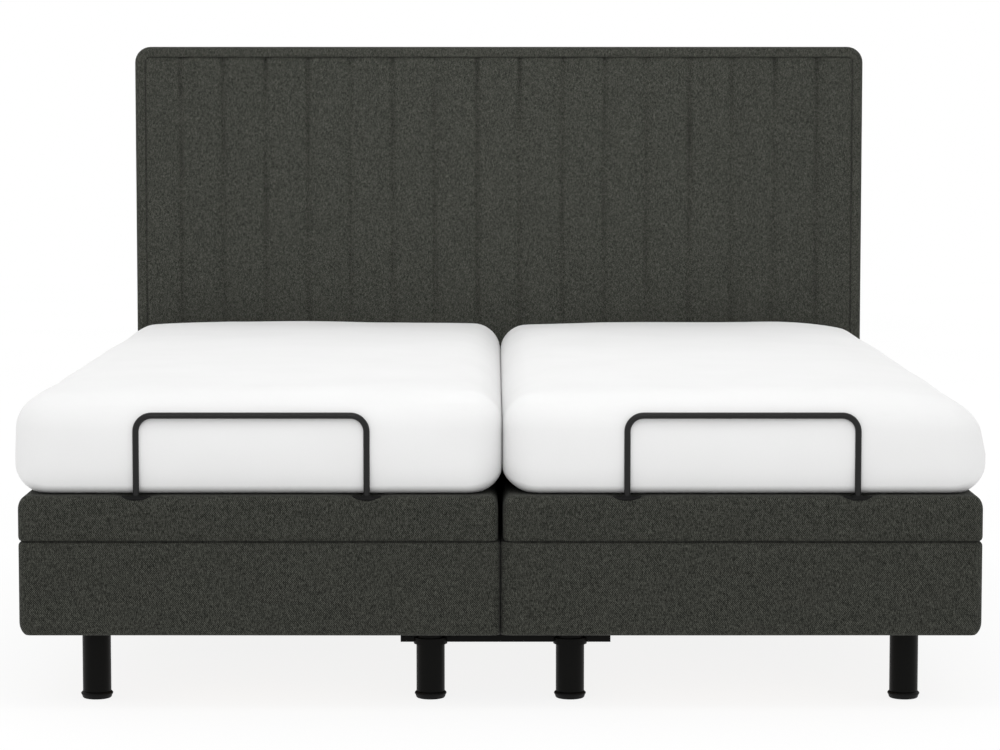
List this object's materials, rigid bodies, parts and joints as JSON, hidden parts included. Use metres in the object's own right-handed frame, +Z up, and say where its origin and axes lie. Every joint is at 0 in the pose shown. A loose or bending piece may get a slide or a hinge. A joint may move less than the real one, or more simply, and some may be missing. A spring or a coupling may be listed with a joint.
{
  "type": "adjustable bed base",
  "caption": "Split double boxspring bed with powered back and knee lift in each half, twin mattresses, foot retainer bars, tube legs and a channelled headboard.",
  "frame": {"origin": "on the floor, under the middle of the bed's footprint, headboard included", "axes": "+X to the right seen from the foot, +Y from the foot to the headboard, +Z up"},
  "size_m": [1.8, 2.095, 1.272],
  "materials": {
    "upholstery": "dark grey-green melange weave",
    "back_cloth": "thin black backing cloth",
    "mattress_knit": "smooth white stretch knit",
    "timber": "raw plywood and softwood",
    "black_steel": "satin black powder coat",
    "zinc_steel": "bright zinc plate",
    "black_plastic": "fine matt moulding"
  },
  "bodies": {
    "base": {"box_boards_left": "timber", "box_boards_right": "timber", "box_cover_left": "upholstery", "box_cover_right": "upholstery", "control_boxes": "black_plastic", "drive_housing_left": "black_plastic", "drive_housing_right": "black_plastic", "drive_motors": "zinc_steel", "fixed_frame_left": "black_steel", "fixed_frame_right": "black_steel", "headboard_back_cover": "back_cloth", "headboard_bolts": "zinc_steel", "headboard_border": "upholstery", "headboard_brackets": "black_steel", "headboard_channel_pad": "upholstery", "headboard_frame": "timber", "hinge_pins": "zinc_steel", "leg_foot_caps": "black_plastic", "leg_mounting_plates": "black_steel", "leg_tubes": "black_steel", "link_bracket": "black_steel", "seat_board_left": "timber", "seat_board_right": "timber", "seat_cover_left": "upholstery", "seat_cover_right": "upholstery", "seat_mattress_left": "mattress_knit", "seat_mattress_right": "mattress_knit", "underside_screws": "black_steel"},
    "back_section_left": {"back_board_left": "timber", "back_cover_left": "upholstery", "back_frame_left": "black_steel", "back_mattress_left": "mattress_knit"},
    "thigh_section_left": {"thigh_board_left": "timber", "thigh_cover_left": "upholstery", "thigh_frame_left": "black_steel", "thigh_mattress_left": "mattress_knit"},
    "calf_section_left": {"calf_board_left": "timber", "calf_cover_left": "upholstery", "calf_frame_left": "black_steel", "calf_mattress_left": "mattress_knit", "retainer_bar_left": "black_steel"},
    "lift_arms_left": {"lift_shaft_left": "black_steel"},
    "back_drive_left": {"back_pusher_left": "black_plastic"},
    "leg_drive_left": {"leg_pusher_left": "black_plastic"},
    "back_section_right": {"back_board_right": "timber", "back_cover_right": "upholstery", "back_frame_right": "black_steel", "back_mattress_right": "mattress_knit"},
    "thigh_section_right": {"thigh_board_right": "timber", "thigh_cover_right": "upholstery", "thigh_frame_right": "black_steel", "thigh_mattress_right": "mattress_knit"},
    "calf_section_right": {"calf_board_right": "timber", "calf_cover_right": "upholstery", "calf_frame_right": "black_steel", "calf_mattress_right": "mattress_knit", "retainer_bar_right": "black_steel"},
    "lift_arms_right": {"lift_shaft_right": "black_steel"},
    "back_drive_right": {"back_pusher_right": "black_plastic"},
    "leg_drive_right": {"leg_pusher_right": "black_plastic"}
  },
  "joints": [
    {"name": "back_lift_left", "type": "hinge", "parent": "base", "child": "back_section_left", "pos_m": [-0.4515, 0.2025, 0.394], "axis": [1, 0, 0], "range_deg": [0, 60]},
    {"name": "knee_lift_left", "type": "hinge", "parent": "base", "child": "thigh_section_left", "pos_m": [-0.4515, -0.0975, 0.394], "axis": [-1, 0, 0], "range_deg": [0, 35]},
    {"name": "calf_fold_left", "type": "hinge", "parent": "thigh_section_left", "child": "calf_section_left", "pos_m": [-0.4515, -0.4475, 0.324], "axis": [1, 0, 0], "range_deg": [0, 35]},
    {"name": "lift_shaft_turn_left", "type": "hinge", "parent": "base", "child": "lift_arms_left", "pos_m": [-0.4515, -0.5175, 0.295], "axis": [-1, 0, 0], "range_deg": [0, 35]},
    {"name": "leg_push_left", "type": "slide", "parent": "base", "child": "leg_drive_left", "axis": [0, -1, 0], "range_m": [0, 0.03628]},
    {"name": "back_push_left", "type": "slide", "parent": "base", "child": "back_drive_left", "axis": [0, 1, 0], "range_m": [0, 0.1652]},
    {"name": "back_lift_right", "type": "hinge", "parent": "base", "child": "back_section_right", "pos_m": [0.4515, 0.2025, 0.394], "axis": [1, 0, 0], "range_deg": [0, 60]},
    {"name": "knee_lift_right", "type": "hinge", "parent": "base", "child": "thigh_section_right", "pos_m": [0.4515, -0.0975, 0.394], "axis": [-1, 0, 0], "range_deg": [0, 35]},
    {"name": "calf_fold_right", "type": "hinge", "parent": "thigh_section_right", "child": "calf_section_right", "pos_m": [0.4515, -0.4475, 0.324], "axis": [1, 0, 0], "range_deg": [0, 35]},
    {"name": "lift_shaft_turn_right", "type": "hinge", "parent": "base", "child": "lift_arms_right", "pos_m": [0.4515, -0.5175, 0.295], "axis": [-1, 0, 0], "range_deg": [0, 35]},
    {"name": "leg_push_right", "type": "slide", "parent": "base", "child": "leg_drive_right", "axis": [0, -1, 0], "range_m": [0, 0.03628]},
    {"name": "back_push_right", "type": "slide", "parent": "base", "child": "back_drive_right", "axis": [0, 1, 0], "range_m": [0, 0.1652]}
  ],
  "couplings": [
    {"joint": "calf_fold_left", "follows": "knee_lift_left", "ratio": 1},
    {"joint": "lift_shaft_turn_left", "follows": "knee_lift_left", "ratio": 1},
    {"joint": "leg_push_left", "follows": "knee_lift_left", "m_per_rad": 0.059071},
    {"joint": "back_push_left", "follows": "back_lift_left", "m_per_rad": 0.15756},
    {"joint": "calf_fold_right", "follows": "knee_lift_right", "ratio": 1},
    {"joint": "lift_shaft_turn_right", "follows": "knee_lift_right", "ratio": 1},
    {"joint": "leg_push_right", "follows": "knee_lift_right", "m_per_rad": 0.059071},
    {"joint": "back_push_right", "follows": "back_lift_right", "m_per_rad": 0.15756}
  ]
}
